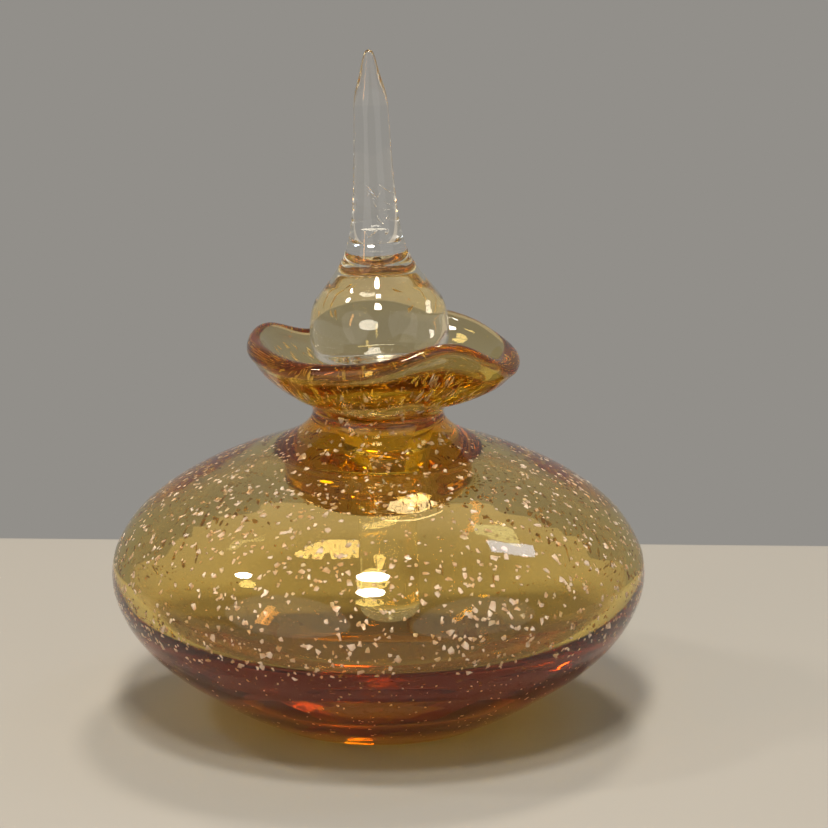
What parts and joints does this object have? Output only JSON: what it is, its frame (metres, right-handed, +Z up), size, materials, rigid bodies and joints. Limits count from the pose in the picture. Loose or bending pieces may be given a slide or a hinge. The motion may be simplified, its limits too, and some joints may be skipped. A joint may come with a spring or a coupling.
{
  "type": "perfume bottle",
  "caption": "Squat blown glass perfume bottle with a ruffled lip and a lift-off stopper drawn into a tall spire.",
  "frame": {"origin": "centre of the bottle's flat foot, on the surface it stands on", "axes": "+Z up the bottle's height; -Y is the front; +X is the viewer's right"},
  "size_m": [0.1096, 0.1096, 0.1378],
  "materials": {
    "amber_glass": "fire-polished, full of small pale gold flecks",
    "clear_glass": "fire-polished"
  },
  "bodies": {
    "bottle": {"bottle_body": "amber_glass", "bottle_lip": "amber_glass"},
    "stopper": {"stopper_plug": "clear_glass", "stopper_ball": "clear_glass", "stopper_spire": "clear_glass"}
  },
  "joints": [
    {"name": "stopper_lift", "type": "slide", "parent": "bottle", "child": "stopper", "axis": [-0.0359, 0, 0.9994], "range_m": [0, 0.064]}
  ]
}
